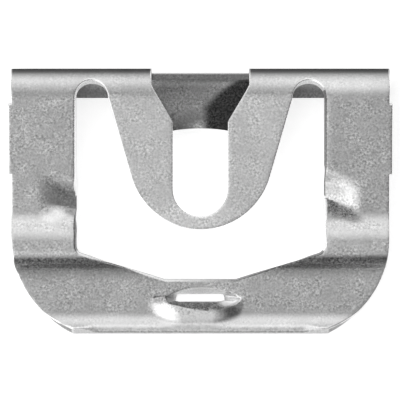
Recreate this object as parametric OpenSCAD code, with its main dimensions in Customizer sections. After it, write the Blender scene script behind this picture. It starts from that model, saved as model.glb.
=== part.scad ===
// Spring steel molding clip, folded from one piece of sheet.
// It lies on its return leaf and on the back of its bottom lip, with the side that
// faces the car body turned up. X runs across the clip, Y from the lip to the top
// bend, and Z is up from the surface that it lies on.

/* [Sheet] */
// Thickness of the sheet
sheet_t = 0.7; // [0.5:0.05:0.9]

/* [Overall size] */
// Width across the legs
clip_w = 31.75; // [29:0.25:38]
// Height from the edge of the bottom lip to the top of the bend
clip_h = 22.3; // [20.5:0.1:26]
// Radius of the two lower outer corners
corner_r = 8.25; // [6:0.25:9]
// How far the edge of the lip cuts in above the foot of the corner arcs
corner_cut = 0.35; // [0:0.05:1.5]

/* [Top bend and return leaf] */
// Outside radius of the top bend
bend_r = 2; // [1.6:0.05:2.6]
// How far the sides of the leaf run past the end of the bend
leaf_len = 0.45; // [0.2:0.05:1.5]
// Width of the long tab in the middle of the leaf
tab_w = 9; // [8.5:0.1:11]
// How far the tab runs past the end of the bend
tab_len = 3.2; // [2:0.1:4.5]
// Corner radius of the tab
tab_corner_r = 1.5; // [0.3:0.1:2]
// Depth of the hollow arc in the end of the tab
tab_hollow = 0.2; // [0.05:0.05:0.5]
// Width of that arc
tab_hollow_w = 4.7; // [3:0.1:5.5]

/* [Tongue] */
// How far the tongue runs past the bend
tongue_len = 11.5; // [10:0.1:13]
// Radius of the round end of the tongue
tongue_r = 6.05; // [5:0.05:7]

/* [Stud slot] */
// Width of the slot for the neck of the body stud
slot_w = 4.6; // [3.6:0.1:5.2]
// Sheet left below the slot
slot_land = 1.1; // [0.8:0.1:2]
// Where the flared mouth narrows to the slot, below the end of the bend
mouth_len = 2.45; // [1.8:0.05:3.5]
// Width of the mouth where it passes over the bend
mouth_w = 8.2; // [7:0.1:8.4]
// Slope of the bend's front where the mouth starts to narrow
mouth_front_deg = 19; // [5:1:30]
// Slope of the bend's back where the mouth ends
mouth_back_deg = 58; // [45:1:70]

/* [Legs and windows] */
// Width of each leg
leg_w = 5.35; // [4.5:0.05:6]
// Width of the window between leg and tongue, at its round top
window_w = 2.8; // [2:0.1:3.2]
// Slope of the bend at the top of each window
window_top_deg = 32; // [20:1:40]
// Corner radius at the foot of each leg
window_corner_r = 0.8; // [0.3:0.1:1.5]
// Height of the stubs where the clip was sheared from its strip
stub_len = 5.9; // [3:0.1:8]
// How far the stubs stand out from the legs
stub_out = 0.24; // [0.1:0.02:0.4]
// Top of the stubs, below the top of the clip
stub_top = 2.95; // [2.5:0.05:5]

/* [Bottom bar and lip] */
// Height of the bar from the edge of the lip, at its middle
bar_h = 4.5; // [3.8:0.1:5.2]
// Length of the straight middle of the bar's upper edge
bar_flat_w = 6; // [3:0.1:9]
// Rise of the bar's upper edge towards the legs
bar_rise_deg = 17.5; // [10:0.5:22]
// Inside radius of the bend of the lip
lip_r = 1.2; // [0.8:0.05:1.8]
// Slope of the lip at its edge
lip_deg = 42; // [30:1:50]
// Straight length of the lip past its bend
lip_flat = 0.3; // [0.1:0.05:0.8]

/* [Catch ridge across the legs] */
// Height of the catch edge above the edge of the lip
catch_h = 6.55; // [6:0.05:7.2]
// Slope that climbs to the ridge, from the leg
ramp_deg = 28; // [20:1:35]
// Straight length of that slope
ramp_len = 1; // [0.6:0.05:1.4]
// Bend radius at the foot of the slope, at mid sheet
ramp_r = 1.2; // [0.8:0.1:2]
// Slope of the ridge's top, from the leg
crest_deg = 5; // [2:1:8]
// Straight length of the ridge's top
crest_len = 1.6; // [1:0.1:2.2]
// Bend radius onto the ridge's top, at mid sheet
crest_r = 2; // [1.2:0.1:3]
// Slope of the shoulder that goes back to the bar
shoulder_deg = 48; // [42:1:60]
// Bend radius of the catch edge, at mid sheet
catch_r = 0.5; // [0.48:0.01:0.6]
// Bend radius at the foot of the shoulder, at mid sheet
foot_r = 1.2; // [0.8:0.05:1.3]

/* [Pierced slot in the bar] */
// Length of the pierced slot
pierce_w = 4.15; // [3:0.05:5]
// Width of the pierced slot
pierce_h = 0.7; // [0.5:0.05:0.9]
// Height of the pierced slot above the edge of the lip
pierce_up = 2.95; // [2.7:0.05:3.2]
// Width of the raised lip below the pierced slot
lance_w = 6.7; // [5.5:0.1:8]
// How far the raised lip stands out from the bar
lance_out = 0.8; // [0.5:0.05:1]
// Slope of the raised lip, from the bar
lance_deg = 48; // [40:1:55]

/* [Darts at the inner edges of the legs] */
// Radius of each dart
dart_r = 1.8; // [1:0.1:2]
// Depth of each dart
dart_depth = 0.35; // [0.1:0.05:0.5]
// Height of the darts' middle above the foot of the ridge's slope
dart_up = 1.4; // [1.2:0.1:4]

/* [Hidden] */
$fn = 96;
steel = [0.66, 0.67, 0.68];
// Largest turn of one flat in a rounded fold
fold_step = 5;
// How far cutting shapes reach past the sheet
past = 5;
// The round top of a window is this much wider than its sides
arch_swell = 0.02;
// How far the ends of the raised lip lie below the middle of the pierced slot
lance_drop = 0.1;
// How far behind the bend's axis the cut for a window's top starts
arch_back = 0.6;

y_top = clip_h / 2;
y_bottom = -clip_h / 2;
axis_y = y_top - bend_r;
mid_r = bend_r - sheet_t / 2;
front_z = 2 * bend_r;

// The legs lean from the front of the top bend to the back of the lip's bend
lip_y = y_bottom + (lip_r + sheet_t) * sin(lip_deg) + lip_flat * cos(lip_deg);
lip_z = lip_r + sheet_t;
span_y = axis_y - lip_y;
span_z = bend_r - lip_z;
lean = asin((bend_r + lip_r) / norm([span_y, span_z])) + atan2(span_z, span_y);
leg_run = sqrt(span_y * span_y + span_z * span_z - (bend_r + lip_r) * (bend_r + lip_r));
leg_start = [axis_y - mid_r * sin(lean), bend_r + mid_r * cos(lean)];

// Rise of the ridge off the leg, and its length along the leg
crest_rise = ramp_r * (1 - cos(ramp_deg)) + ramp_len * sin(ramp_deg)
    + crest_r * (cos(crest_deg) - cos(ramp_deg)) + crest_len * sin(crest_deg);
crest_run = ramp_r * sin(ramp_deg) + ramp_len * cos(ramp_deg)
    + crest_r * (sin(ramp_deg) - sin(crest_deg)) + crest_len * cos(crest_deg);
shoulder_drop = crest_rise - catch_r * (cos(crest_deg) - cos(shoulder_deg))
    - foot_r * (1 - cos(shoulder_deg));
shoulder_len = shoulder_drop / sin(shoulder_deg);
shoulder_run = catch_r * (sin(crest_deg) + sin(shoulder_deg)) + shoulder_len * cos(shoulder_deg)
    + foot_r * sin(shoulder_deg);
catch_run = (leg_start[0] - crest_rise * sin(lean) - y_bottom - catch_h) / cos(lean);
plate_run = leg_run - catch_run - shoulder_run;

// Folds of the sheet, from the end of the leaf: [length, 0] runs straight, and
// [turn, radius] is a fold, with a turn to the left positive
leaf_folds = [[leaf_len, 0], [180, mid_r]];
tongue_folds = concat(leaf_folds, [[tongue_len, 0]]);
frame_folds = concat(leaf_folds, [
    [lean, mid_r],
    [catch_run - crest_run, 0],
    [-ramp_deg, ramp_r],
    [ramp_len, 0],
    [ramp_deg - crest_deg, crest_r],
    [crest_len, 0],
    [crest_deg + shoulder_deg, catch_r],
    [shoulder_len, 0],
    [-shoulder_deg, foot_r],
    [plate_run, 0],
    [-lean - lip_deg, lip_r + sheet_t / 2],
    [lip_flat, 0]
]);
leaf_end = [axis_y - leaf_len, sheet_t / 2, 0];

leg_x = clip_w / 2 - leg_w;
arch_r = window_w / 2 + arch_swell;
arch_x = leg_x - window_w / 2;
arch_y = axis_y - arch_r * cos(window_top_deg);
arch_z = bend_r + arch_r * sin(window_top_deg);
root_y = arch_y + (front_z - sheet_t / 2 - arch_z) * tan(window_top_deg);
root_x = leg_x - window_w;
tongue_end = axis_y - tongue_len;
tongue_mid = tongue_end + tongue_r;
slot_mid = tongue_end + slot_land + slot_w / 2;
bar_y = y_bottom + bar_h;
pierce_run = (leg_start[0] - y_bottom - pierce_up) / cos(lean);
dart_run = catch_run - crest_run - dart_up;
dart_ball_r = (dart_r * dart_r + dart_depth * dart_depth) / (2 * dart_depth);

// A place is [y, z, heading]; this is the place a share of the way along a fold
function along(p, fold, share) = fold[1] == 0
    ? [p[0] + share * fold[0] * cos(p[2]), p[1] + share * fold[0] * sin(p[2]), p[2]]
    : let (r = fold[1] * sign(fold[0]), a = p[2] + share * fold[0])
      [p[0] + r * (sin(a) - sin(p[2])), p[1] + r * (cos(p[2]) - cos(a)), a];

// All places on a chain of folds, with each bend in flats of at most fold_step
function places(p, folds, i = 0) = i == len(folds)
    ? [p]
    : let (n = folds[i][1] == 0 ? 1 : ceil(abs(folds[i][0]) / fold_step))
      concat([for (k = [0 : n - 1]) along(p, folds[i], k / n)],
             places(along(p, folds[i], 1), folds, i + 1));

// The two faces of the sheet along a chain of folds
function face(chain, side) = [for (p = chain) [p[0] + side * sin(p[2]), p[1] - side * cos(p[2])]];
function reversed(list) = [for (i = [len(list) - 1 : -1 : 0]) list[i]];
function section(folds) = let (chain = places(leaf_end, folds))
    concat(face(chain, sheet_t / 2), reversed(face(chain, -sheet_t / 2)));

// A round corner of a plan, from one heading to the next
function arc(centre, r, from, to) = let (n = ceil(abs(to - from) / fold_step))
    [for (k = [0 : n]) let (a = from + (to - from) * k / n) centre + r * [cos(a), sin(a)]];
function mirrored(points) = [for (p = reversed(points)) [-p[0], p[1]]];

// Folded strip of the sheet, w wide
module strip(folds, w) {
    rotate([90, 0, 90])
        linear_extrude(w, center = true)
            polygon(section(folds));
}

// Prism on a plan, from the bend's axis up, so that it spares the leaf
module front_cut() {
    translate([0, 0, bend_r])
        linear_extrude(bend_r + past)
            children();
}

// Prism on a plan, through everything
module through_cut() {
    translate([0, 0, -past])
        linear_extrude(front_z + 2 * past)
            children();
}

// Outer plan of the frame
module frame_plan() {
    corner_y = y_bottom - corner_cut + corner_r;
    corner_x = clip_w / 2 - corner_r;
    translate([-clip_w / 2, corner_y])
        square([clip_w, y_top - corner_y + past]);
    translate([-corner_x, corner_y - corner_r])
        square([2 * corner_x, 2 * corner_r]);
    for (side = [-1, 1])
        translate([side * corner_x, corner_y])
            circle(corner_r);
    translate([-clip_w / 2 - stub_out, y_top - stub_top - stub_len])
        square([clip_w + 2 * stub_out, stub_len]);
}

// Opening in the frame: the windows, the gap under the tongue and the tongue's own place
module frame_opening() {
    foot_y = bar_y + (leg_x - bar_flat_w / 2) * tan(bar_rise_deg);
    turn = 90 - bar_rise_deg;
    inset = window_corner_r * tan(turn / 2);
    centre = [leg_x - window_corner_r, foot_y + inset];
    right = concat([[bar_flat_w / 2, bar_y]], arc(centre, window_corner_r, -turn, 0),
                   [[leg_x, root_y], [arch_x, root_y], [arch_x, y_top + past]]);
    polygon(concat(right, mirrored(right)));
}

// What is cut away beside and below the tongue, within its strip
module tongue_sides() {
    to_mid = [-root_x, tongue_mid - root_y];
    swing = atan2(to_mid[1], to_mid[0]) + asin(tongue_r / norm(to_mid));
    right = concat([[arch_x + past, root_y], [root_x, root_y]],
                   arc([0, tongue_mid], tongue_r, swing + 90, -90));
    polygon(concat(right, mirrored(right), [[-arch_x - past, tongue_end - past],
                                            [arch_x + past, tongue_end - past]]));
}

// Stud slot with its flared mouth
module slot_plan() {
    mouth_y = axis_y + mid_r * sin(mouth_front_deg);
    throat_y = axis_y - mouth_len;
    translate([0, slot_mid])
        circle(slot_w / 2);
    polygon([[mouth_w / 2, mouth_y], [slot_w / 2, throat_y], [slot_w / 2, slot_mid],
             [-slot_w / 2, slot_mid], [-slot_w / 2, throat_y], [-mouth_w / 2, mouth_y]]);
}

// The mouth's way over the top bend, cut square to the sheet
module mouth_over_bend() {
    far = 3 * bend_r;
    front = far * [sin(mouth_front_deg), cos(mouth_front_deg)];
    back = far * [sin(mouth_back_deg), -cos(mouth_back_deg)];
    rotate([90, 0, 90])
        linear_extrude(mouth_w, center = true)
            translate([axis_y, bend_r])
                polygon([[0, 0], back, [far, back[1]], [far, front[1]], front]);
}

// Round top of one window, cut square to the bend
module window_top(side) {
    translate([side * arch_x, arch_y, arch_z])
        rotate([-window_top_deg, 0, 0])
            translate([0, 0, -arch_back])
                cylinder(h = bend_r + past, r = arch_r);
}

// Long tab in the middle of the leaf
module tab() {
    end_y = axis_y - tab_len;
    hollow_r = (tab_hollow_w * tab_hollow_w / 4 + tab_hollow * tab_hollow) / (2 * tab_hollow);
    corner = [tab_w / 2 - tab_corner_r, end_y + tab_corner_r];
    right = concat(arc(corner, tab_corner_r, -90, 0), [[tab_w / 2, axis_y]]);
    linear_extrude(sheet_t)
        difference() {
            polygon(concat(right, mirrored(right)));
            translate([0, end_y + tab_hollow - hollow_r])
                circle(hollow_r);
        }
}

// Stands children on the legs' plane at mid sheet, a run below the top bend, with Z off the sheet
module on_leg(run) {
    translate([0, leg_start[0] - run * cos(lean), leg_start[1] - run * sin(lean)])
        rotate([lean, 0, 0])
            children();
}

// Pierced slot, cut square to the bar
module pierced_slot() {
    half = (pierce_w - pierce_h) / 2;
    on_leg(pierce_run)
        linear_extrude(2 * past, center = true) {
            square([2 * half, pierce_h], center = true);
            for (side = [-1, 1])
                translate([side * half, 0])
                    circle(pierce_h / 2);
        }
}

// Round bar that slopes up off the plate to the raised lip's edge, from a level of the sheet up
module lance_bar(inset, over, level) {
    rise = lance_out / cos(lance_deg);
    bar_r = (lance_w * lance_w / 4 + rise * rise) / (2 * rise);
    on_leg(pierce_run)
        intersection() {
            translate([0, -lance_drop, sheet_t / 2])
                rotate([lance_deg - 90, 0, 0])
                    translate([0, bar_r - rise, -past])
                        cylinder(h = past + over, r = bar_r - inset);
            translate([-lance_w, -past, level])
                cube([2 * lance_w, past, 2 * past]);
        }
}

// Ball that dents one leg at its inner edge, larger by grow
module dart_ball(side, grow) {
    on_leg(dart_run)
        translate([side * leg_x, 0, sheet_t / 2 + dart_ball_r - dart_depth])
            rotate([90, 0, 0])
                sphere(dart_ball_r + grow);
}

// Back of one dart, before it is hollowed
module dart(side) {
    intersection() {
        dart_ball(side, sheet_t);
        on_leg(dart_run)
            translate([side * leg_x - past, -past, -past])
                cube([2 * past, 2 * past, past]);
    }
}

// Legs, bottom bar and lip, with the outer ends of the top bend
module frame() {
    difference() {
        intersection() {
            union() {
                strip(frame_folds, clip_w + 2 * stub_out + past);
                for (side = [-1, 1])
                    dart(side);
                lance_bar(0, 0, 0);
            }
            through_cut() frame_plan();
        }
        through_cut() frame_opening();
        pierced_slot();
        lance_bar(sheet_t, past, -past);
        for (side = [-1, 1])
            dart_ball(side, 0);
    }
}

// Tongue with the middle of the top bend
module tongue() {
    difference() {
        strip(tongue_folds, 2 * arch_x);
        front_cut() tongue_sides();
        front_cut() slot_plan();
    }
}

module clip() {
    color(steel)
        difference() {
            union() {
                frame();
                tongue();
                tab();
            }
            mouth_over_bend();
            for (side = [-1, 1])
                window_top(side);
        }
}

clip();
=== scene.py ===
# Zinc plated spring steel molding clip, lying on its leaf and lip with the tongue turned up.
import math

import bpy
import numpy as np
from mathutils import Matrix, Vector
from mathutils.geometry import delaunay_2d_cdt
from mathutils.kdtree import KDTree


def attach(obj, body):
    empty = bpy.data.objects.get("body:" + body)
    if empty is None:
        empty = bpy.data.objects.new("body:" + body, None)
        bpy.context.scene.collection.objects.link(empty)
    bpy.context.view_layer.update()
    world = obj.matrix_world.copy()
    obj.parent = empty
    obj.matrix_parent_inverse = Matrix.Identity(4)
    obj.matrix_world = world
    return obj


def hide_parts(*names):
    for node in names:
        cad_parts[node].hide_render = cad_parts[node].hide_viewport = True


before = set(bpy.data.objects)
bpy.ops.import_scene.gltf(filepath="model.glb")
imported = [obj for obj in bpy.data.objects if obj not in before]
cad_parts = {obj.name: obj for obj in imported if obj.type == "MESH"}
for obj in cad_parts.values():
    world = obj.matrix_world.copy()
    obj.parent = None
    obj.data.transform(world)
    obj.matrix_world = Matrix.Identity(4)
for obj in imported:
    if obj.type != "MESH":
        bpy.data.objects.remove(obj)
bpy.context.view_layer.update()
MM = 0.001

# Sizes of the folded sheet, in millimetres
SHEET_T = 0.7
CLIP_W = 31.75
CLIP_H = 22.3
CORNER_R = 8.25
CORNER_CUT = 0.35
BEND_R = 2.0
LEAF_LEN = 0.45
TAB_W = 9.0
TAB_LEN = 3.2
TAB_CORNER_R = 1.5
TAB_HOLLOW = 0.2
TAB_HOLLOW_W = 4.7
TONGUE_LEN = 11.5
TONGUE_R = 6.05
SLOT_W = 4.6
SLOT_LAND = 1.1
MOUTH_LEN = 2.45
MOUTH_W = 8.2
MOUTH_FRONT_DEG = 19.0
MOUTH_BACK_DEG = 58.0
LEG_W = 5.35
WINDOW_W = 2.8
WINDOW_TOP_DEG = 32.0
WINDOW_CORNER_R = 0.8
STUB_LEN = 5.9
STUB_OUT = 0.24
STUB_TOP = 2.95
BAR_H = 4.5
BAR_FLAT_W = 6.0
BAR_RISE_DEG = 17.5
LIP_R = 1.5
LIP_DEG = 46.0
LIP_FLAT = 0.05
CATCH_H = 6.55
RAMP_DEG = 28.0
RAMP_LEN = 0.67
RAMP_R = 2.5
CREST_DEG = 5.0
CREST_LEN = 1.3
CREST_R = 2.0
SHOULDER_DEG = 48.0
CATCH_R = 0.5
FOOT_R = 1.2
PIERCE_W = 4.15
PIERCE_H = 0.7
PIERCE_UP = 2.95

# Pierced slot: its outline on the front, and how far its lower edge is lifted on the back
EYE_HALF_W = 3.1
EYE_ABOVE = 1.0
EYE_BELOW = 0.75
EYE_SHIFT = 0.2
EYE_TIP = 0.6
EYE_SKEW = 0.2
PIERCE_LIFT = 0.18

# Raised metal below the pierced slot
LANCE_SHIFT = -0.3
LANCE_OUT = 0.66
LANCE_FLAT = 1.7
LANCE_HALF_W = 4.2
LANCE_TAPER = 0.3
LANCE_START = 0.9
LANCE_PEAK = 0.8
LANCE_RUN = 2.7
LANCE_LEAD = 0.2
LANCE_LIP = 0.1

# Darts at the inner edges of the legs, and the low swell below each
DART_UP = -0.45
DART_DEPTH = 0.75
DART_REACH = 3.0
DART_BOW = 1.4
DART_LEN = 3.7
DART_FADE = 1.5
DART_STEP = 0.85
DART_SLANT = 0.3
SWELL_RISE = 0.12
SWELL_LEN = 1.3
SWELL_SHARE = 0.3

# Crown of the leaf, break of the windows' walls, and the start of the frame below the tongue
LEAF_CROWN = 0.3
DIE_BREAK = 0.15
SPLIT_BELOW = 1.5

# Marks on the front, most of them painted shade and painted highlight: lengths in millimetres, angles in
# degrees unless the name says radians, strengths from 0 to 1
# Painted shade along the outermost line of the top bend, the stretch mark
BEND_SHADE_DEG = (30.0, 57.0)
FOLD_REACH = 0.3
FOLD_TURN_RADIANS = (0.02, 0.3)
TONGUE_GRAIN = 0.65
PLAIN_GRAIN = 0.9
SHOULDER_LEAD = 0.15
SHOULDER_LEAD_SLANT = 0.003
SHOULDER_SOFT = 0.3
SHOULDER_FADE = 1.75
SHOULDER_FADE_SLANT = 0.02
# Painted shade at the foot of the top bend
BEND_FOOT_SHADE = 0.42
BEND_FOOT_DEG = (148, 172)
BEND_FOOT_END = (-0.05, 0.6)
BEND_FOOT_X = (8.5, 11.5)
# Painted shade at the step below the right dart
DART_SHADE_LEAD = 0.3
DART_SHADE_SHARE = 0.4
DART_SHADE_END = (0.0, 0.8)
DART_SHADE_OUT = (0.65, 1.15)
DART_SHADE_SLACK = 0.1
# Painted highlight on the raised metal below the pierced slot, the tongue's end, the lip's edge and the
# ridge
LANCE_SHINE_START = (0.2, 0.9)
LANCE_SHINE_FADE = 0.9
LANCE_SHINE_RIGHT = (0.8, 2.2)
LANCE_SHINE_LEFT = (2.2, 4.0)
TONGUE_SHINE = 0.45
TONGUE_SHINE_Y = (0.0, -1.5)
LIP_SHINE = 0.9
LIP_SHINE_SPAN = (0.5, 0.15)
CREST_SHINE = 0.7
CREST_SHINE_X = (0.0, -8.0)
CREST_SHINE_SPAN = (0.05, 0.3)
CREST_SHINE_UP = 0.2

# Marks along the edges: the torn edge, painted shade and painted highlight
TORN_BELOW = (0.0, 0.25)
TORN_RIGHT = (2.1, 2.6)
# Painted highlight at the right end of the pierced slot's wall
EYE_SHINE_X = (1.7, 2.3)
EYE_SHINE_BELOW = (-0.15, 0.1)
EYE_MARGIN_X = 0.2
EYE_MARGIN_S = 0.4
LEG_EDGE_REACH = 0.15
# Painted shade and painted highlight on the windows' edges, and painted shade deep in the lip's roll and at
# the lip's corners
LEG_SHADE_UP = 1.5
BAR_EDGE_REACH = 0.2
BAR_SHADE_X = (-5.0, 5.0)
LIP_EDGE_REACH = 0.7
LIP_DARK = (0.65, 1.1)
CORNER_SHADE = 0.7

# Painted shade, a painted shadow and a painted highlight on the leaf and inside the top bend
INNER_DEG = (40.0, 95.0)
INNER_SHADE_EASE = 0.5
INNER_SHADE_EASE_DEG = (0.0, 50.0)
WALL_DEG = (45, 90)
WALL_SHADE = (1.0, 0.5)
# Painted shadow on the right of the leaf beyond a slanted line, and painted shade at the tab's end
SHADOW_X = 0.35
SHADOW_TURN = -0.75
SHADOW_SLOPE = 1.05
SHADOW_SOFT = 0.4
SHADOW_END_X = (5.5, 7.0)
TAB_SHADE = 0.35
TAB_SHADE_SPAN = (0.6, 2.0)
# Painted highlight: a spot low on the leaf with less painted shade
LEAF_GLINT = 0.8
LEAF_GLINT_S = -2.5
LEAF_GLINT_R = 0.7
LEAF_GLINT_SQUEEZE = 0.6

# Oval spots of painted highlight and painted shade, as (strength, x, y, half width, half height). In the
# place of y, the leaf's spot has its length along the sheet, and the hollow at the right end of the raised
# metal its length below the pierced slot.
SPOT_SOFT = (0.2, 1.2)
SHINE_SPOTS = [(1.0, -12.5, -1.15, 1.2, 0.8), (0.7, 12.8, 0.4, 0.8, 1.1), (1.0, 3.3, -8.1, 0.6, 0.4)]
SHADE_SPOTS = [(0.3, -11.6, 1.0, 1.6, 1.7), (0.4, 10.9, 1.2, 1.6, 1.2), (0.45, -3.5, -8.2, 0.9, 0.5)]
LEAF_SPOT = (0.5, -1.9, -2.5, 0.8, 0.6)
HOLLOW_SPOT = (0.85, 2.5, 1.0, 0.95, 0.65)

# Fineness of the mesh
EDGE_STEP = 0.15
GRID_STEP = 0.32
FINE_STEP = 0.13
FOLD_STEP = math.radians(4.0)
LINE_STEP = 0.05
CLOSE_STEP = 0.02
NORMAL_STEP = 0.02
CLEAR_SHARE = 0.6
MERGE_REACH = 1e-6
SEARCH_STEPS = 50
LEAST_STEPS = 6
EYE_FINE_X = 4.2
EYE_FINE_ABOVE = 1.4
EYE_FINE_BELOW = 2.2
DART_FINE_X = 0.3
DART_FINE_S = 0.8
ROLL_STEPS = (0.0, 22.5, 45.0, 67.5, 90.0)
WALL_ROWS = 4
LEAST_EDGE = 1e-9
LEAST_MITRE = 1.0

# Radii of the rolled edges, and where they change
FRONT_ROLL = 0.11
LIP_ROLL = 0.52
LIP_ROLL_X = 10.2
LIP_ROLL_FADE = 1.6
LIP_ROLL_SPAN = (0.9, 0.1)
EYE_ROLL = 0.22
TORN_ROLL = 0.07
TORN_ROLL_SPAN = (-0.3, 0.1)
BACK_ROLL = 0.05

HALF_T = SHEET_T / 2
MID_R = BEND_R - HALF_T
Y_TOP = CLIP_H / 2
Y_BOTTOM = -CLIP_H / 2
AXIS_Y = Y_TOP - BEND_R


def sin_deg(angle):
    return math.sin(math.radians(angle))


def cos_deg(angle):
    return math.cos(math.radians(angle))


class Chain:
    """Folds of the sheet at mid thickness.

    A fold is (turn in degrees, radius), and a straight run is (length, 0).
    """

    def __init__(self, start, folds):
        self.pieces = []
        y, z, heading = start
        s = 0.0
        for amount, radius in folds:
            turn = 0.0
            length = amount
            if radius:
                turn = math.radians(amount)
                length = abs(turn) * radius
            self.pieces.append((s, length, y, z, heading, turn))
            y, z, heading = self.along(self.pieces[-1], length)
            s += length
        self.length = s

    @staticmethod
    def along(piece, run):
        _, length, y, z, heading, turn = piece
        if not turn:
            return y + run * math.cos(heading), z + run * math.sin(heading), heading
        end = heading + turn * run / length
        radius = length / turn
        return (y + radius * (math.sin(end) - math.sin(heading)),
                z + radius * (math.cos(heading) - math.cos(end)), end)

    def place(self, s):
        piece = self.pieces[0]
        for candidate in self.pieces:
            if s < candidate[0]:
                break
            piece = candidate
        return self.along(piece, s - piece[0])

    def at_y(self, y, level=0.0):
        """Length along the chain's front side at which the sheet passes y, at a level off its middle."""
        low, high = S_TOP, self.length
        for _ in range(SEARCH_STEPS):
            middle = (low + high) / 2
            middle_y, _, heading = self.place(middle)
            if middle_y + level * math.sin(heading) > y:
                low = middle
            else:
                high = middle
        return (low + high) / 2

    def rows(self):
        """Lengths at which the mesh gets a row: close together in the folds."""
        rows = []
        for start, length, *_, turn in self.pieces:
            count = max(math.ceil(abs(turn) / FOLD_STEP), math.ceil(length / GRID_STEP), 1)
            rows += [start + length * k / count for k in range(count)]
        return rows


# The legs lean from the top bend's front to the back of the lip's bend
lip_y = Y_BOTTOM + (LIP_R + SHEET_T) * sin_deg(LIP_DEG) + LIP_FLAT * cos_deg(LIP_DEG)
span_y = AXIS_Y - lip_y
span_z = BEND_R - LIP_R - SHEET_T
span = math.hypot(span_y, span_z)
lean = math.degrees(math.asin((BEND_R + LIP_R) / span) + math.atan2(span_z, span_y))
leg_run = math.sqrt(span ** 2 - (BEND_R + LIP_R) ** 2)
leg_start_y = AXIS_Y - MID_R * sin_deg(lean)

# Rise of the ridge off the leg, and its length along the leg
crest_rise = (RAMP_R * (1 - cos_deg(RAMP_DEG)) + RAMP_LEN * sin_deg(RAMP_DEG)
              + CREST_R * (cos_deg(CREST_DEG) - cos_deg(RAMP_DEG)) + CREST_LEN * sin_deg(CREST_DEG))
crest_run = (RAMP_R * sin_deg(RAMP_DEG) + RAMP_LEN * cos_deg(RAMP_DEG)
             + CREST_R * (sin_deg(RAMP_DEG) - sin_deg(CREST_DEG)) + CREST_LEN * cos_deg(CREST_DEG))
shoulder_drop = (crest_rise - CATCH_R * (cos_deg(CREST_DEG) - cos_deg(SHOULDER_DEG))
                 - FOOT_R * (1 - cos_deg(SHOULDER_DEG)))
shoulder_len = shoulder_drop / sin_deg(SHOULDER_DEG)
shoulder_run = (CATCH_R * (sin_deg(CREST_DEG) + sin_deg(SHOULDER_DEG))
                + shoulder_len * cos_deg(SHOULDER_DEG) + FOOT_R * sin_deg(SHOULDER_DEG))
catch_run = (leg_start_y - crest_rise * sin_deg(lean) - Y_BOTTOM - CATCH_H) / cos_deg(lean)
plate_run = leg_run - catch_run - shoulder_run

LEAF_START = (AXIS_Y - LEAF_LEN, HALF_T, 0.0)
LEAF_FOLDS = [(LEAF_LEN, 0), (180.0, MID_R)]
S_TOP = LEAF_LEN + MID_R * math.pi / 2
S_FRONT = LEAF_LEN + MID_R * math.pi
tongue_chain = Chain(LEAF_START, LEAF_FOLDS + [(TONGUE_LEN, 0)])
frame_chain = Chain(LEAF_START, LEAF_FOLDS + [
    (lean, MID_R),
    (catch_run - crest_run, 0),
    (-RAMP_DEG, RAMP_R),
    (RAMP_LEN, 0),
    (RAMP_DEG - CREST_DEG, CREST_R),
    (CREST_LEN, 0),
    (CREST_DEG + SHOULDER_DEG, CATCH_R),
    (shoulder_len, 0),
    (-SHOULDER_DEG, FOOT_R),
    (plate_run, 0),
    (-lean - LIP_DEG, LIP_R + HALF_T),
    (LIP_FLAT, 0),
])

# Places of the crest, the catch, the ridge's foot and the lip among the frame's folds
CREST_FOLD = 7
CATCH_FOLD = 8
FOOT_FOLD = 10
LIP_FOLD = 12

leg_x = CLIP_W / 2 - LEG_W
arch_x = leg_x - WINDOW_W / 2
arch_r = WINDOW_W / 2
root_x = leg_x - WINDOW_W
tongue_end = AXIS_Y - TONGUE_LEN
tongue_mid = tongue_end + TONGUE_R
slot_mid = tongue_end + SLOT_LAND + SLOT_W / 2
bar_y = Y_BOTTOM + BAR_H
s_split = S_FRONT + TONGUE_LEN + SPLIT_BELOW
s_pierce = frame_chain.at_y(Y_BOTTOM + PIERCE_UP)
s_bar = frame_chain.at_y(bar_y)
s_catch = frame_chain.pieces[CATCH_FOLD][0]
s_crest = frame_chain.pieces[CREST_FOLD][0]
s_foot = frame_chain.pieces[FOOT_FOLD][0]
s_lip = frame_chain.pieces[LIP_FOLD][0]
corner_x = CLIP_W / 2 - CORNER_R
corner_y = Y_BOTTOM - CORNER_CUT + CORNER_R
lip_edge_y = frame_chain.place(frame_chain.length)[0]
corner_end = -math.degrees(math.asin((corner_y - lip_edge_y) / CORNER_R))
lip_edge_x = corner_x + CORNER_R * cos_deg(corner_end)
s_dart = S_FRONT + MID_R * math.radians(lean) + catch_run - crest_run - DART_UP


def bend_s(angle):
    """Length along the sheet to an angle of the top bend, from the leaf."""
    return LEAF_LEN + MID_R * math.radians(angle)


def bend_angle(s):
    """Angle of the top bend, from the leaf, at a length along the sheet."""
    return math.degrees((s - LEAF_LEN) / MID_R)


def tongue_s(y):
    return S_FRONT + AXIS_Y - y


def smooth(low, high, value):
    """0 at low, 1 at high, with an even start and end."""
    share = min(max((value - low) / (high - low), 0.0), 1.0)
    return share * share * (3 - 2 * share)


# Outlines on the flat sheet, as points (x, length along the sheet)
def arc(centre, radius, start, end):
    count = max(math.ceil(abs(math.radians(end - start)) * radius / EDGE_STEP), LEAST_STEPS)
    angles = [start + (end - start) * k / count for k in range(count + 1)]
    return [(centre[0] + radius * cos_deg(a), centre[1] + radius * sin_deg(a)) for a in angles]


def line(start, end, step=LINE_STEP):
    count = max(math.ceil(math.dist(start, end) / step), 1)
    return [(start[0] + (end[0] - start[0]) * k / count,
             start[1] + (end[1] - start[1]) * k / count) for k in range(count + 1)]


def on_frame(points):
    return [(x, frame_chain.at_y(y)) for x, y in points]


def on_tongue(points):
    return [(x, tongue_s(y)) for x, y in points]


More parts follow.
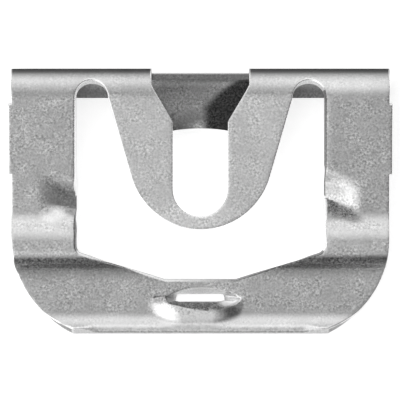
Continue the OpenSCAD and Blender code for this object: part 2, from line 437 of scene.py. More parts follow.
def resample(points, step):
    """The same run of points with even steps, without its last point."""
    points = np.array(points)
    steps = np.hypot(*np.diff(points, axis=0).T)
    reach = np.concatenate([[0.0], np.cumsum(steps)])
    count = max(round(reach[-1] / step), 1)
    wanted = np.linspace(0.0, reach[-1], count + 1)[:-1]
    return np.column_stack([np.interp(wanted, reach, points[:, k]) for k in (0, 1)])


def closed(right_runs):
    """A loop from the runs of its right half, which starts and ends on the middle line."""
    left_runs = [[(-x, s) for x, s in reversed(run)] for run in reversed(right_runs)]
    return np.concatenate([resample(run, EDGE_STEP) for run in right_runs + left_runs])


def outer_loop():
    tab_end = LEAF_LEN - TAB_LEN
    hollow_r = (TAB_HOLLOW_W ** 2 / 4 + TAB_HOLLOW ** 2) / (2 * TAB_HOLLOW)
    hollow_turn = math.degrees(math.asin(TAB_HOLLOW_W / 2 / hollow_r))
    corner = (TAB_W / 2 - TAB_CORNER_R, tab_end + TAB_CORNER_R)
    side_x = CLIP_W / 2
    stub_x = side_x + STUB_OUT
    stub_high = frame_chain.at_y(Y_TOP - STUB_TOP)
    stub_low = frame_chain.at_y(Y_TOP - STUB_TOP - STUB_LEN)
    corner_s = frame_chain.at_y(corner_y)
    corner_arc = arc((corner_x, corner_y), CORNER_R, 0, corner_end)
    dense_arc = [p for a, b in zip(corner_arc, corner_arc[1:]) for p in line(a, b, CLOSE_STEP)]
    return closed([
        arc((0, tab_end + TAB_HOLLOW - hollow_r), hollow_r, 90, 90 - hollow_turn),
        line((TAB_HOLLOW_W / 2, tab_end), (corner[0], tab_end)),
        arc(corner, TAB_CORNER_R, -90, 0),
        line((TAB_W / 2, corner[1]), (TAB_W / 2, 0)),
        line((TAB_W / 2, 0), (side_x, 0)),
        line((side_x, 0), (side_x, stub_high)),
        line((side_x, stub_high), (stub_x, stub_high)),
        line((stub_x, stub_high), (stub_x, stub_low)),
        line((stub_x, stub_low), (side_x, stub_low)),
        line((side_x, stub_low), (side_x, corner_s)),
        on_frame(dense_arc),
        line((lip_edge_x, frame_chain.length), (0, frame_chain.length)),
    ])


def window_loop():
    arch_s = bend_s(180 - WINDOW_TOP_DEG) + arch_r
    root = (root_x, AXIS_Y - (arch_s - S_FRONT))
    to_mid = (-root[0], tongue_mid - root[1])
    swing = math.degrees(math.atan2(to_mid[1], to_mid[0])
                         + math.asin(TONGUE_R / math.hypot(*to_mid)))
    end_arc = arc((0, tongue_mid), TONGUE_R, -90, swing + 90)
    foot_y = bar_y + (leg_x - BAR_FLAT_W / 2) * math.tan(math.radians(BAR_RISE_DEG))
    turn = 90 - BAR_RISE_DEG
    centre = (leg_x - WINDOW_CORNER_R, foot_y + WINDOW_CORNER_R * math.tan(math.radians(turn / 2)))
    foot_arc = arc(centre, WINDOW_CORNER_R, 0, -turn)
    return closed([
        on_tongue(end_arc),
        on_tongue(line(end_arc[-1], root)),
        arc((arch_x, arch_s), arch_r, 180, 360),
        line((leg_x, arch_s), (leg_x, frame_chain.at_y(centre[1]))),
        on_frame(foot_arc),
        on_frame(line(foot_arc[-1], (BAR_FLAT_W / 2, bar_y), CLOSE_STEP)),
        on_frame(line((BAR_FLAT_W / 2, bar_y), (0, bar_y))),
    ])


def window_outlines(loop):
    """Front and back outlines of the windows, whose walls break away along the legs and the bar."""
    shares = [1.0 if s > s_split else smooth(arch_x, leg_x, abs(x)) for x, s in loop]
    front = loop.copy()
    back = inset(loop, -DIE_BREAK * np.array(shares))
    # From the ridge down the walls stand upright, however the sheet leans
    for outline, level in ((front, HALF_T), (back, -HALF_T)):
        for point in outline:
            if point[1] > s_crest:
                point[1] = frame_chain.at_y(frame_chain.place(point[1])[0], level)
    return front, back


def stud_slot_loop():
    throat = tongue_s(AXIS_Y - MOUTH_LEN)
    front = bend_s(180 - MOUTH_FRONT_DEG)
    back = bend_s(MOUTH_BACK_DEG)
    half = SLOT_W / 2
    return closed([
        on_tongue(arc((0, slot_mid), half, -90, 0)),
        line((half, tongue_s(slot_mid)), (half, throat)),
        line((half, throat), (MOUTH_W / 2, front)),
        line((MOUTH_W / 2, front), (MOUTH_W / 2, back)),
        line((MOUTH_W / 2, back), (0, back)),
    ])


def pierced_loops():
    """Front and back outlines of the pierced slot, point by point."""
    count = 2 * round(2 * EYE_HALF_W / EDGE_STEP)
    front = []
    back = []
    half = PIERCE_W / 2
    straight = half - PIERCE_H / 2
    for k in range(count):
        turn = 2 * math.pi * k / count
        across = math.cos(turn)
        up = math.sin(turn)
        rise = EYE_ABOVE if up > 0 else EYE_BELOW * (1 + EYE_SKEW * across)
        edge = PIERCE_H / 2 if up > 0 else PIERCE_H / 2 - PIERCE_LIFT
        front.append((EYE_SHIFT + EYE_HALF_W * across, s_pierce - rise * up * abs(up) ** EYE_TIP))
        past = max(abs(across) * half - straight, 0.0)
        bow = math.sqrt(max(1 - (2 * past / PIERCE_H) ** 2, 0.0))
        back.append((half * across, s_pierce - math.copysign(edge * bow, up)))
    return np.array(front), np.array(back)


# Form of the folded sheet
def on_tongue_side(x, s):
    return abs(x) < arch_x and s < s_split


def lance_rise(x, s):
    """Height of the raised metal below the pierced slot, which runs out into the bottom lip."""
    below = s - s_pierce
    if below < -LANCE_LEAD or below > LANCE_RUN:
        return 0.0
    taper = LANCE_TAPER * max(below, 0.0)
    across = 1 - smooth(LANCE_FLAT - taper, LANCE_HALF_W - taper, abs(x - LANCE_SHIFT))
    along = LANCE_START * smooth(-LANCE_LEAD, LANCE_LIP, below)
    along += (1 - LANCE_START) * smooth(LANCE_LEAD, LANCE_PEAK, below)
    return LANCE_OUT * across * along * (1 - smooth(LANCE_PEAK, LANCE_RUN, below))


def below_dart(x, s):
    """How far a place lies below the lower end of a dart, which runs a little aslant."""
    return s - s_dart - DART_SLANT * (x - math.copysign(leg_x + DART_REACH / 2, x))


def dart_rise(x, s):
    """Form of the darts: the inner edge of each leg is bent back, with a low swell below it."""
    out = abs(x) - leg_x
    if out > DART_REACH:
        return 0.0
    across = (1 - max(out, 0.0) / DART_REACH) ** DART_BOW
    below = below_dart(x, s)
    pressed = smooth(-DART_LEN, DART_FADE - DART_LEN, below) * (1 - smooth(-DART_STEP, 0.0, below))
    swell_top = SWELL_SHARE * SWELL_LEN
    swell = smooth(-swell_top, swell_top, below) * (1 - smooth(swell_top, SWELL_LEN, below))
    return across * (SWELL_RISE * swell - DART_DEPTH * pressed)


def middle(x, s):
    """Point on the middle of the sheet, and its way along the sheet and off its front."""
    chain = tongue_chain if on_tongue_side(x, s) else frame_chain
    y, z, heading = chain.place(s)
    off = Vector((0, math.sin(heading), -math.cos(heading)))
    point = Vector((x, y, z))
    if chain is frame_chain:
        point += off * (lance_rise(x, s) + dart_rise(x, s))
    if s < 0:
        crown = (1 - (x / (TAB_W / 2)) ** 2) * smooth(0.0, TAB_LEN - LEAF_LEN, -s)
        point -= off * LEAF_CROWN * crown
    return point, off


def normal_at(x, s):
    across = middle(x + NORMAL_STEP, s)[0] - middle(x - NORMAL_STEP, s)[0]
    along = middle(x, s + NORMAL_STEP)[0] - middle(x, s - NORMAL_STEP)[0]
    normal = across.cross(along).normalized()
    return normal if normal.dot(middle(x, s)[1]) > 0 else -normal


def sheet_point(x, s, level):
    return middle(x, s)[0] + normal_at(x, s) * level


# Mesh of one face of the sheet
def area(loop):
    x, s = loop.T
    return 0.5 * np.sum(x * np.roll(s, -1) - np.roll(x, -1) * s)


def inset(loop, distance):
    """The loop moved into the sheet, which lies on its left, by a distance for each point."""
    ahead = np.roll(loop, -1, axis=0) - loop
    ahead /= np.maximum(np.hypot(*ahead.T), LEAST_EDGE)[:, None]
    left = np.column_stack([-ahead[:, 1], ahead[:, 0]])
    both = left + np.roll(left, 1, axis=0)
    mitre = np.maximum(np.sum(both * both, axis=1), LEAST_MITRE)
    return loop + distance[:, None] * both / mitre[:, None] * 2


def inside(points, loops):
    hit = np.zeros(len(points), bool)
    x, s = points.T
    for loop in loops:
        for (from_x, from_s), (to_x, to_s) in zip(loop, np.roll(loop, -1, axis=0)):
            crosses = (from_s > s) != (to_s > s)
            if crosses.any():
                edge_x = from_x + (s - from_s) * (to_x - from_x) / (to_s - from_s)
                hit ^= crosses & (x < edge_x)
    return hit


def grid_points():
    """Inner points of the sheet, closer together in the folds and the formed details."""
    columns = np.arange(-CLIP_W / 2, CLIP_W / 2 + GRID_STEP, GRID_STEP)
    rows = np.concatenate([np.arange(LEAF_LEN - TAB_LEN, 0, GRID_STEP), frame_chain.rows()])
    coarse = np.array([(x, s) for s in rows for x in columns])
    boxes = [(EYE_SHIFT - EYE_FINE_X, EYE_SHIFT + EYE_FINE_X,
              s_pierce - EYE_FINE_ABOVE, s_pierce + EYE_FINE_BELOW)]
    for side in (-1, 1):
        edges = sorted((side * leg_x, side * (leg_x + DART_REACH + DART_FINE_X)))
        boxes.append((edges[0], edges[1],
                      s_dart - DART_LEN - DART_FINE_S, s_dart + SWELL_LEN + DART_FINE_S))
    fine = []
    for left, right, high, low in boxes:
        clear = ((coarse[:, 0] < left) | (coarse[:, 0] > right)
                 | (coarse[:, 1] < high) | (coarse[:, 1] > low))
        coarse = coarse[clear]
        fine += [(x, s) for s in np.arange(high, low, FINE_STEP) for x in np.arange(left, right, FINE_STEP)]
    return np.concatenate([coarse, np.array(fine)])


def front_roll(x, s):
    """Radius of the front edges, which is larger along the bottom lip and around the pierced slot."""
    if s < S_TOP:
        return BACK_ROLL
    if near_eye(x, s):
        return EYE_ROLL + (TORN_ROLL - EYE_ROLL) * smooth(*TORN_ROLL_SPAN, s - s_pierce)
    middle_of_lip = 1 - smooth(LIP_ROLL_X - LIP_ROLL_FADE, LIP_ROLL_X, abs(x))
    on_lip = middle_of_lip * smooth(*LIP_ROLL_SPAN, frame_chain.length - s)
    return FRONT_ROLL + (LIP_ROLL - FRONT_ROLL) * on_lip


def back_roll(x, s):
    return BACK_ROLL


def face_mesh(loops, roll):
    """Points (x, s, how far below the face) and triangles of one face; the loops come first."""
    rings = []
    drops = []
    for turn in ROLL_STEPS:
        for loop in loops:
            rolls = np.array([roll(x, s) for x, s in loop])
            rings.append(inset(loop, rolls * (1 - cos_deg(turn))))
            drops.append(rolls * (1 - sin_deg(turn)))
    points = np.concatenate(rings)
    drops = np.concatenate(drops)
    edges = []
    start = 0
    for ring in rings:
        edges += [(start + k, start + (k + 1) % len(ring)) for k in range(len(ring))]
        start += len(ring)
    inner = grid_points()
    tree = KDTree(len(points))
    for k, (x, s) in enumerate(points):
        tree.insert((x, s, 0), k)
    tree.balance()
    inner = inner[inside(inner, rings[-len(loops):])]
    inner = inner[[tree.find((x, s, 0))[2] > CLEAR_SHARE * EDGE_STEP for x, s in inner]]
    points = np.concatenate([points, inner])
    drops = np.concatenate([drops, np.zeros(len(inner))])
    flat = [Vector(point) for point in points]
    corners, _, triangles, sources, _, _ = delaunay_2d_cdt(flat, edges, [], 0, MERGE_REACH)
    assert len(corners) == len(points) and all(sources)
    triangles = np.array(triangles)
    kept = triangles[inside(np.array(corners)[triangles].mean(axis=1), loops)]
    order = np.array([source[0] for source in sources])
    return np.column_stack([points, drops]), order[kept]


def oriented(loop, hole):
    return loop[::-1] if (area(loop) < 0) != hole else loop


# Marks of working, and painted shade, shadow and highlight, from 0 to 1; stretch is painted shade along the
# top bend
MARKS = ("grain", "inner_shade", "leaf_shadow", "stretch", "painted_shade", "painted_highlight", "edge", "cut", "torn_and_shade")


def flatness(x, s):
    """1 on the flats, where the finish is grainy, falling to 0 in the folds, where it is smoothed."""
    chain = tongue_chain if on_tongue_side(x, s) else frame_chain
    turn = abs(chain.place(s + FOLD_REACH)[2] - chain.place(s - FOLD_REACH)[2])
    return 1 - smooth(*FOLD_TURN_RADIANS, turn)


def fineness(x, s):
    """How strong the grain is: the tongue is smoother than the rest."""
    return TONGUE_GRAIN if on_tongue_side(x, s) and s > S_FRONT else PLAIN_GRAIN


def shoulder_band(x, s):
    """1 down the shoulder of the ridge, where shade is painted and the grain is strong, a little lower on
    the left.
    """
    start = s_catch - SHOULDER_LEAD - SHOULDER_LEAD_SLANT * x
    steep = (s_catch + s_foot) / 2
    end = s_foot + SHOULDER_FADE - SHOULDER_FADE_SLANT * x
    return smooth(start, start + SHOULDER_SOFT, s) * (1 - smooth(steep, end, s))


def bend_shade(s):
    """1 along the outermost line of the top bend, where shade is painted in the place of a dark reflection.
    """
    return 1 - smooth(*BEND_SHADE_DEG, abs(bend_angle(s) - 90))


def bend_foot(x, s):
    """How much shade is painted at the foot of the top bend. The right leg stays bright there."""
    start, full = [bend_s(angle) for angle in BEND_FOOT_DEG]
    along = smooth(start, full, s) * (1 - smooth(*BEND_FOOT_END, s - S_FRONT))
    return BEND_FOOT_SHADE * along * (1 - smooth(*BEND_FOOT_X, x))


def dart_step_shade(x, s):
    """1 along the step at the lower end of the right dart, where shade is painted and the surface is made
    rough.
    """
    out = x - leg_x
    if out < -DART_SHADE_SLACK:
        return 0.0
    below = below_dart(x, s)
    along = smooth(-DART_STEP - DART_SHADE_LEAD, -DART_SHADE_SHARE * DART_STEP, below)
    along *= 1 - smooth(*DART_SHADE_END, below)
    return along * (1 - smooth(*DART_SHADE_OUT, out / DART_REACH))


def spot(x, s, strength, spot_x, spot_s, half_w, half_h):
    """Strength in the middle of an oval spot, falling to 0 at its rim."""
    across = (x - spot_x) / half_w
    along = (s - spot_s) / half_h
    return strength * (1 - smooth(*SPOT_SOFT, math.hypot(across, along)))


def on_sheet(spots):
    """The same spots with their length along the sheet in the place of y."""
    return [(strength, x, frame_chain.at_y(y), half_w, half_h) for strength, x, y, half_w, half_h in spots]


shine_spots = on_sheet(SHINE_SPOTS)
hollow_shade, hollow_x, hollow_below, hollow_half_w, hollow_half_h = HOLLOW_SPOT
shade_spots = on_sheet(SHADE_SPOTS)
shade_spots.append((hollow_shade, hollow_x, s_pierce + hollow_below, hollow_half_w, hollow_half_h))


def painted_highlight(x, s):
    """Painted highlight on the raised metal, the tongue's end, the lip's edge, the ridge and the bright
    spots.
    """
    below = s - s_pierce
    along = smooth(*LANCE_SHINE_START, below) * (1 - smooth(LANCE_RUN - LANCE_SHINE_FADE, LANCE_RUN, below))
    across = (1 - smooth(*LANCE_SHINE_RIGHT, x)) * (1 - smooth(*LANCE_SHINE_LEFT, -x))
    tongue = 0.0
    if on_tongue_side(x, s):
        start, full = [tongue_s(y) for y in TONGUE_SHINE_Y]
        tongue = TONGUE_SHINE * smooth(start, full, s)
    lip_edge = LIP_SHINE * smooth(*LIP_SHINE_SPAN, frame_chain.length - s)
    crest = 1 - smooth(*CREST_SHINE_SPAN, abs(s - s_catch + CREST_SHINE_UP))
    crest *= CREST_SHINE * smooth(*CREST_SHINE_X, x)
    shine = max(spot(x, s, *place) for place in shine_spots)
    return max(along * across, tongue, lip_edge, crest, shine)


def torn_edge(x, s):
    """1 along the lower edge of the pierced slot, which is torn, except at its right end."""
    return smooth(*TORN_BELOW, s - s_pierce) * (1 - smooth(*TORN_RIGHT, x))


def on_leg_edge(x, s):
    return s < s_foot and abs(abs(x) - leg_x) < LEG_EDGE_REACH


def on_bar_edge(x, s):
    return s_split < s < s_bar + BAR_EDGE_REACH and abs(x) < leg_x


def near_eye(x, s):
    return abs(x - EYE_SHIFT) < EYE_HALF_W + EYE_MARGIN_X and abs(s - s_pierce) < EYE_BELOW + EYE_MARGIN_S


def edge_shade(x, s):
    """How much shade is painted on the windows' edge: low on the left leg, high on the right one, and right
    on the bar.
    """
    if on_leg_edge(x, s):
        return 1.0 if (x < 0) == (s > s_dart - LEG_SHADE_UP) else 0.0
    return smooth(*BAR_SHADE_X, x) if on_bar_edge(x, s) else 0.0


def front_marks(x, s, drop):
    """Marks of a point on the front, which lies at a drop below the face where the edge is rolled."""
    # Painted shade deep in the lip's rolled edge and on the windows' dark edges
    dark = smooth(*LIP_DARK, drop / LIP_ROLL)
    if drop:
        dark = max(dark, edge_shade(x, s))
    # Painted shade in oval spots
    shade = max(spot(x, s, *place) for place in shade_spots)
    # Painted highlight along the front's rolled edges
    edge = 0 < drop <= FRONT_ROLL and not near_eye(x, s) and frame_chain.length - s > LIP_EDGE_REACH
    return {
        "grain": max(flatness(x, s) * fineness(x, s), shoulder_band(x, s)),
        # The stretch mark is painted shade along the top bend
        "stretch": bend_shade(s),
        "painted_shade": max(shoulder_band(x, s), shade, bend_foot(x, s), dark),
        "painted_highlight": painted_highlight(x, s),
        "edge": 1.0 - dark if edge else 0.0,
        "torn_and_shade": torn_edge(x, s) if drop and near_eye(x, s) else dart_step_shade(x, s),
    }


def back_marks(x, s, drop):
    """Marks of a point on the back, with painted shade and a painted shadow on the leaf, inside the top
    bend.
    """
    angle = bend_angle(s)
    inner = 1 - smooth(*INNER_DEG, angle)
    # Painted highlight: a spot low on the leaf where less shade is painted
    glint = 1 - smooth(0.0, LEAF_GLINT_R, math.hypot(LEAF_GLINT_SQUEEZE * x, s - LEAF_GLINT_S))
    # Painted shadow right of a slanted line, and painted shade at the tab's end and in a spot
    shadow_from = SHADOW_X + SHADOW_SLOPE * max(s - SHADOW_TURN, 0.0)
    shadow_right = smooth(-SHADOW_SOFT, SHADOW_SOFT, x - shadow_from) * (1 - smooth(*SHADOW_END_X, x))
    shade_at_end = TAB_SHADE * smooth(*TAB_SHADE_SPAN, -s) * (1 - glint)
    inner_shade = inner * (1 - INNER_SHADE_EASE * smooth(*INNER_SHADE_EASE_DEG, angle)) * (1 - LEAF_GLINT * glint)
    leaf_shadow = inner * max(shadow_right, shade_at_end, spot(x, s, *LEAF_SPOT))
    # Painted shade on the walls inside the top bend
    if drop and WALL_DEG[0] < angle < WALL_DEG[1]:
        inner_shade, leaf_shadow = WALL_SHADE
    return {
        "grain": max(flatness(x, s) * fineness(x, s), shoulder_band(x, s), inner),
        "inner_shade": inner_shade,
        "leaf_shadow": leaf_shadow,
    }


def wall_marks(x, s, in_eye):
    # Painted shade on the walls at the leaf's side of the top bend
    if s < S_TOP:
        inner_shade, leaf_shadow = WALL_SHADE
        return {"grain": 1.0, "inner_shade": inner_shade, "leaf_shadow": leaf_shadow}
    # Painted shade on the walls at the lip's corners
    if s > s_lip and abs(x) > lip_edge_x:
        return {"painted_shade": CORNER_SHADE}
    # Painted shade and painted highlight on the legs' inner edges, painted shade on the bar's edge
    if on_leg_edge(x, s):
        return {"painted_shade": edge_shade(x, s), "edge": 1.0 - edge_shade(x, s)}
    if on_bar_edge(x, s):
        return {"painted_shade": edge_shade(x, s)}
    if not in_eye:
        return {"cut": 1.0}
    # Painted highlight at the right end of the pierced slot's wall
    eye_highlight = smooth(*EYE_SHINE_X, x) * smooth(*EYE_SHINE_BELOW, s - s_pierce)
    return {"cut": 1.0, "torn_and_shade": torn_edge(x, s), "edge": eye_highlight}


def build_clip():
    outer = oriented(outer_loop(), False)
    slot = oriented(stud_slot_loop(), True)
    eye, pierced = [oriented(loop, True) for loop in pierced_loops()]
    window, window_back = window_outlines(oriented(window_loop(), True))
    front_loops = [outer, window, slot, eye]
    front, front_faces = face_mesh(front_loops, front_roll)
    back, back_faces = face_mesh([outer, window_back, slot, pierced], back_roll)
    verts = [sheet_point(x, s, HALF_T - drop) for x, s, drop in front]
    verts += [sheet_point(x, s, drop - HALF_T) for x, s, drop in back]
    marks = [front_marks(x, s, drop) for x, s, drop in front]
    marks += [back_marks(x, s, drop) for x, s, drop in back]
    faces = [tuple(f)[::-1] for f in front_faces]
    faces += [tuple(f + len(front)) for f in back_faces]
    start = 0
    for loop in front_loops:
        count = len(loop)
        rows = [list(range(start, start + count))]
        for r in range(1, WALL_ROWS):
            share = r / WALL_ROWS
            row = []
            for k in range(count):
                top = verts[start + k]
                foot = verts[len(front) + start + k]
                row.append(len(verts))
                verts.append(top.lerp(foot, share))
                marks.append(wall_marks(loop[k][0], loop[k][1], loop is eye))
            rows.append(row)
        rows.append(list(range(len(front) + start, len(front) + start + count)))
        for upper, lower in zip(rows, rows[1:]):
            for k in range(count):
                after = (k + 1) % count
                faces.append((upper[k], upper[after], lower[after], lower[k]))
        start += count
    mesh = bpy.data.meshes.new("clip_sheet")
    mesh.from_pydata([v * MM for v in verts], [], faces)
    mesh.validate()
    for name in MARKS:
        values = [mark.get(name, 0.0) for mark in marks]
        mesh.attributes.new(name, "FLOAT", "POINT").data.foreach_set("value", values)
    mesh.polygons.foreach_set("use_smooth", [True] * len(mesh.polygons))
    piece = bpy.data.objects.new("clip_sheet", mesh)
    bpy.context.scene.collection.objects.link(piece)
    return piece


# Finish: noises as (size of the grains in millimetres, detail, roughness)
SPANGLE = (0.18, 4, 0.65)
CLOUDS = (1.3, 3, 0.6)
PATCHES = (2.6, 2, 0.5)
CRUMBS = (0.12, 3, 0.7)
BLOTCHES = (0.4, 3, 0.65)
SHEAR = (0.08, 2, 0.5)
SHEAR_STRETCH = (1, 1, 0.15)
HAIRS = (0.11, 2, 0.5)
HAIR_DEG = 50
HAIR_STRETCH = (0.06, 1, 1)

# Parts of a noise that are used, and what they become: tone, roughness, or strength of a mark
NOISE_SPAN = (0.3, 0.7)
CLOUD_SPAN = (0.36, 0.62)
CRUMB_SPAN = (0.35, 0.65)
BLOTCH_SPAN = (0.38, 0.62)
SCRATCH_SPAN = (0.66, 0.74)
SCRATCHED_SPAN = (0.5, 0.62)
UNEVEN = [
    ("torn_and_shade", "blotches", BLOTCH_SPAN, (0.6, 1.3)),
    ("painted_shade", "spangle", NOISE_SPAN, (1.2, 0.8)),
    ("leaf_shadow", "spangle", NOISE_SPAN, (1.12, 0.88)),
]
PLATED_TONE = 0.66
SPANGLE_TONE = (-0.33, 0.33)
CLOUD_CONTRAST = (0.4, 1.25)
GRAIN_CONTRAST = (0.4, 1)
PATCH_TONE = (0.94, 1.06)
CUT_TONE = (0.6, 0.84)
TORN_AND_SHADE_TONE = (0.1, 0.5)
# Tone of the painted highlight along the edges
EDGE_HIGHLIGHT_TONE = 0.92
EDGE_HIGHLIGHT_SHARE = 0.8
PLATED_ROUGH = (0.33, 0.43)

# What each mark takes off the tone, and what it adds to the roughness: painted shade and shadow darken the
# tone, stretch among them, and the painted highlight lightens it
FADES = [("inner_shade", 0.55), ("leaf_shadow", 0.84), ("stretch", 0.81), ("painted_shade", 0.75), ("painted_highlight", -0.4)]
ROUGHER = [("inner_shade", 0.14), ("cut", 0.1), ("torn_and_shade", 0.25), ("edge", -0.12)]
BEND_SHADE_TINT = 0.75

# Depths of the fine relief, in millimetres
GRAIN_RELIEF = (0.2, 1)
SPANGLE_DEPTH = 0.022
SCRATCH_DEPTH = 0.01
TORN_DEPTH = 0.08


class Shader:
    """Short ways to add nodes to a material or a world."""

    def __init__(self, owner):
        owner.use_nodes = True
        self.nodes = owner.node_tree.nodes
        self.links = owner.node_tree.links

    def set(self, socket, value):
        if hasattr(value, "is_linked"):
            self.links.new(value, socket)
        else:
            socket.default_value = value

    def math(self, operation, first, second, third=0.0):
        node = self.nodes.new("ShaderNodeMath")
        node.operation = operation
        for socket, value in zip(node.inputs, (first, second, third)):
            self.set(socket, value)
        return node.outputs["Value"]

    def ranged(self, value, low, high, to_low, to_high):
        node = self.nodes.new("ShaderNodeMapRange")
        for name, entry in (("Value", value), ("From Min", low), ("From Max", high),
                            ("To Min", to_low), ("To Max", to_high)):
            self.set(node.inputs[name], entry)
        return node.outputs["Result"]

    def mix(self, share, first, second):
        node = self.nodes.new("ShaderNodeMix")
        for socket, value in zip(node.inputs[0:4], (share, None, first, second)):
            if value is not None:
                self.set(socket, value)
        return node.outputs["Result"]

    def mark(self, name):
        node = self.nodes.new("ShaderNodeAttribute")
        node.attribute_name = name
        return node.outputs["Fac"]

    def place(self, turn=0.0, stretch=(1, 1, 1)):
        """Place on the object, turned about its upright and stretched."""
        origin = self.nodes.new("ShaderNodeTexCoord")
        mapping = self.nodes.new("ShaderNodeMapping")
        mapping.inputs["Rotation"].default_value = (0, 0, math.radians(turn))
        mapping.inputs["Scale"].default_value = stretch
        self.links.new(origin.outputs["Object"], mapping.inputs["Vector"])
        return mapping.outputs["Vector"]

    def noise(self, place, size, detail, roughness):
        """Noise with grains of a size in millimetres."""
        node = self.nodes.new("ShaderNodeTexNoise")
        node.inputs["Scale"].default_value = 1 / (size * MM)
        node.inputs["Detail"].default_value = detail
        node.inputs["Roughness"].default_value = roughness
        self.links.new(place, node.inputs["Vector"])
        return node.outputs["Fac"]

    def faded(self, value, mark, share):
        """The value lowered by a share where the mark is 1."""
        return self.math("MULTIPLY", value, self.math("MULTIPLY_ADD", mark, -share, 1.0))

    def bump(self, height, depth, below=None):
        """Bump of a depth in millimetres, on top of another."""
        node = self.nodes.new("ShaderNodeBump")
        node.inputs["Distance"].default_value = depth * MM
        self.links.new(height, node.inputs["Height"])
        if below is not None:
            self.links.new(below, node.inputs["Normal"])
        return node.outputs["Normal"]


def zinc_plated_steel():
    material = bpy.data.materials.new("zinc_plated_steel")
    tree = Shader(material)
    steel = tree.nodes["Principled BSDF"]
    steel.inputs["Metallic"].default_value = 1.0
    marks = {name: tree.mark(name) for name in MARKS}
    place = tree.place()
    spangle = tree.noise(place, *SPANGLE)
    clouds = tree.noise(place, *CLOUDS)
    patches = tree.noise(place, *PATCHES)
    crumbs = tree.noise(place, *CRUMBS)
    blotches = tree.noise(place, *BLOTCHES)
    shear = tree.noise(tree.place(0, SHEAR_STRETCH), *SHEAR)
    hairs = tree.noise(tree.place(HAIR_DEG, HAIR_STRETCH), *HAIRS)
    noises = {"spangle": spangle, "blotches": blotches}
    for name, noise, span, scales in UNEVEN:
        uneven = tree.ranged(noises[noise], *span, *scales)
        marks[name] = tree.math("MULTIPLY", marks[name], uneven)

    clouded = tree.ranged(clouds, *CLOUD_SPAN, *CLOUD_CONTRAST)
    contrast = tree.math("MULTIPLY", clouded, tree.ranged(marks["grain"], 0, 1, *GRAIN_CONTRAST))
    spangled = tree.ranged(spangle, *NOISE_SPAN, *SPANGLE_TONE)
    tone = tree.math("MULTIPLY_ADD", spangled, contrast, PLATED_TONE)
    tone = tree.math("MULTIPLY", tone, tree.ranged(patches, *NOISE_SPAN, *PATCH_TONE))
    # Painted shade, shadow and highlight go into the tone here
    for name, share in FADES:
        tone = tree.faded(tone, marks[name], share)
    tone = tree.mix(marks["cut"], tone, tree.ranged(shear, *NOISE_SPAN, *CUT_TONE))
    tone = tree.mix(marks["torn_and_shade"], tone, tree.ranged(crumbs, *CRUMB_SPAN, *TORN_AND_SHADE_TONE))
    # Painted highlight along the edges
    tone = tree.mix(tree.math("MULTIPLY", marks["edge"], EDGE_HIGHLIGHT_SHARE), tone, EDGE_HIGHLIGHT_TONE)

    rough = tree.ranged(spangle, *NOISE_SPAN, *PLATED_ROUGH)
    for name, more in ROUGHER:
        rough = tree.math("MULTIPLY_ADD", marks[name], more, rough)
    # The stretch mark, painted shade along the top bend, also lowers the metal's tint
    tint = tree.math("MULTIPLY_ADD", marks["stretch"], -BEND_SHADE_TINT, 1.0)

    relief = tree.math("MULTIPLY", spangle, tree.ranged(marks["grain"], 0, 1, *GRAIN_RELIEF))
    scratched = tree.ranged(patches, *SCRATCHED_SPAN, 0, 1)
    scratch = tree.math("MULTIPLY", tree.ranged(hairs, *SCRATCH_SPAN, 0, 1), scratched)
    normal = tree.bump(relief, SPANGLE_DEPTH)
    normal = tree.bump(tree.math("MULTIPLY", scratch, marks["grain"]), -SCRATCH_DEPTH, normal)
    normal = tree.bump(tree.math("MULTIPLY", crumbs, marks["torn_and_shade"]), TORN_DEPTH, normal)
    tree.set(steel.inputs["Base Color"], tone)
    tree.set(steel.inputs["Specular Tint"], tint)
    tree.set(steel.inputs["Roughness"], rough)
    tree.set(steel.inputs["Normal"], normal)
    return material


def pale_floor():
    """Pale matt floor that reads as white to the eye and in the metal, and keeps the shadow."""
    material = bpy.data.materials.new("pale_floor")
    tree = Shader(material)
    matt = tree.nodes["Principled BSDF"]
    matt.inputs["Base Color"].default_value = FLOOR_COLOUR
    matt.inputs["Roughness"].default_value = FLOOR_ROUGH
    matt.inputs["Specular IOR Level"].default_value = 0.0
    matt.inputs["Emission Color"].default_value = (1, 1, 1, 1)
    path = tree.nodes.new("ShaderNodeLightPath").outputs
    seen = tree.math("MAXIMUM", path["Is Camera Ray"], path["Is Glossy Ray"])
    seen = tree.math("MAXIMUM", seen, path["Is Transmission Ray"])
    tree.set(matt.inputs["Emission Strength"], tree.math("MULTIPLY", seen, FLOOR_GLOW))
    return material


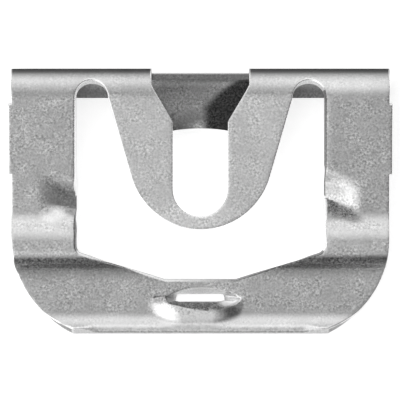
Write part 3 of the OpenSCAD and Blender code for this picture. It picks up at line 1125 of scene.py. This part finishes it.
def studio():
    """Even light from all round, with broad soft lights on top of it."""
    world = bpy.data.worlds.new("studio")
    tree = Shader(world)
    way = tree.nodes.new("ShaderNodeTexCoord").outputs["Generated"]
    level = ROUND_LIGHT
    for direction, strength, focus in SOFT_LIGHTS:
        toward = tree.nodes.new("ShaderNodeVectorMath")
        toward.operation = "DOT_PRODUCT"
        toward.inputs[1].default_value = Vector(direction).normalized()
        tree.links.new(way, toward.inputs[0])
        facing = tree.math("MAXIMUM", toward.outputs["Value"], 0.0)
        level = tree.math("MULTIPLY_ADD", tree.math("POWER", facing, focus), strength, level)
    tree.set(tree.nodes["Background"].inputs["Color"], level)
    return world


clip = build_clip()
clip.data.materials.append(zinc_plated_steel())
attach(clip, "root")
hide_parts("clip")

# Stage, in metres, and lights as (direction, strength, focus)
FLOOR_W = 1.0
FLOOR_COLOUR = (0.8, 0.8, 0.8, 1)
FLOOR_ROUGH = 0.9
FLOOR_GLOW = 0.6
ROUND_LIGHT = 0.07
SOFT_LIGHTS = [
    ((-0.1, 0.75, 0.65), 1.2, 2.5),
    ((-0.7, -0.5, 0.5), 2.6, 7.0),
    ((0.0, 0.3, 1.0), 0.32, 10.0),
    ((0.0, -1.0, 0.2), 0.3, 5.0),
    ((0.7, -0.7, 0.15), 0.5, 10.0),
]
bpy.ops.mesh.primitive_plane_add(size=FLOOR_W)
floor = bpy.context.object
floor.name = "floor"
floor.data.materials.append(pale_floor())
bpy.context.scene.world = studio()

# Camera, straight above, in metres, with its sensor in millimetres
CAMERA_X = -0.000025
CAMERA_Y = 0.00012
CAMERA_HEIGHT = 0.6
FOCUS_HEIGHT = 0.0025
PICTURE_W = 0.03356
SENSOR_W = 36.0
NEAR_LIMIT = 0.01
lens = bpy.data.cameras.new("camera")
camera = bpy.data.objects.new("camera", lens)
bpy.context.scene.collection.objects.link(camera)
lens.sensor_width = SENSOR_W
lens.lens = lens.sensor_width * (CAMERA_HEIGHT - FOCUS_HEIGHT) / PICTURE_W
lens.clip_start = NEAR_LIMIT
camera.location = (CAMERA_X, CAMERA_Y, CAMERA_HEIGHT)
bpy.context.scene.camera = camera
bpy.context.scene.view_settings.view_transform = "Standard"
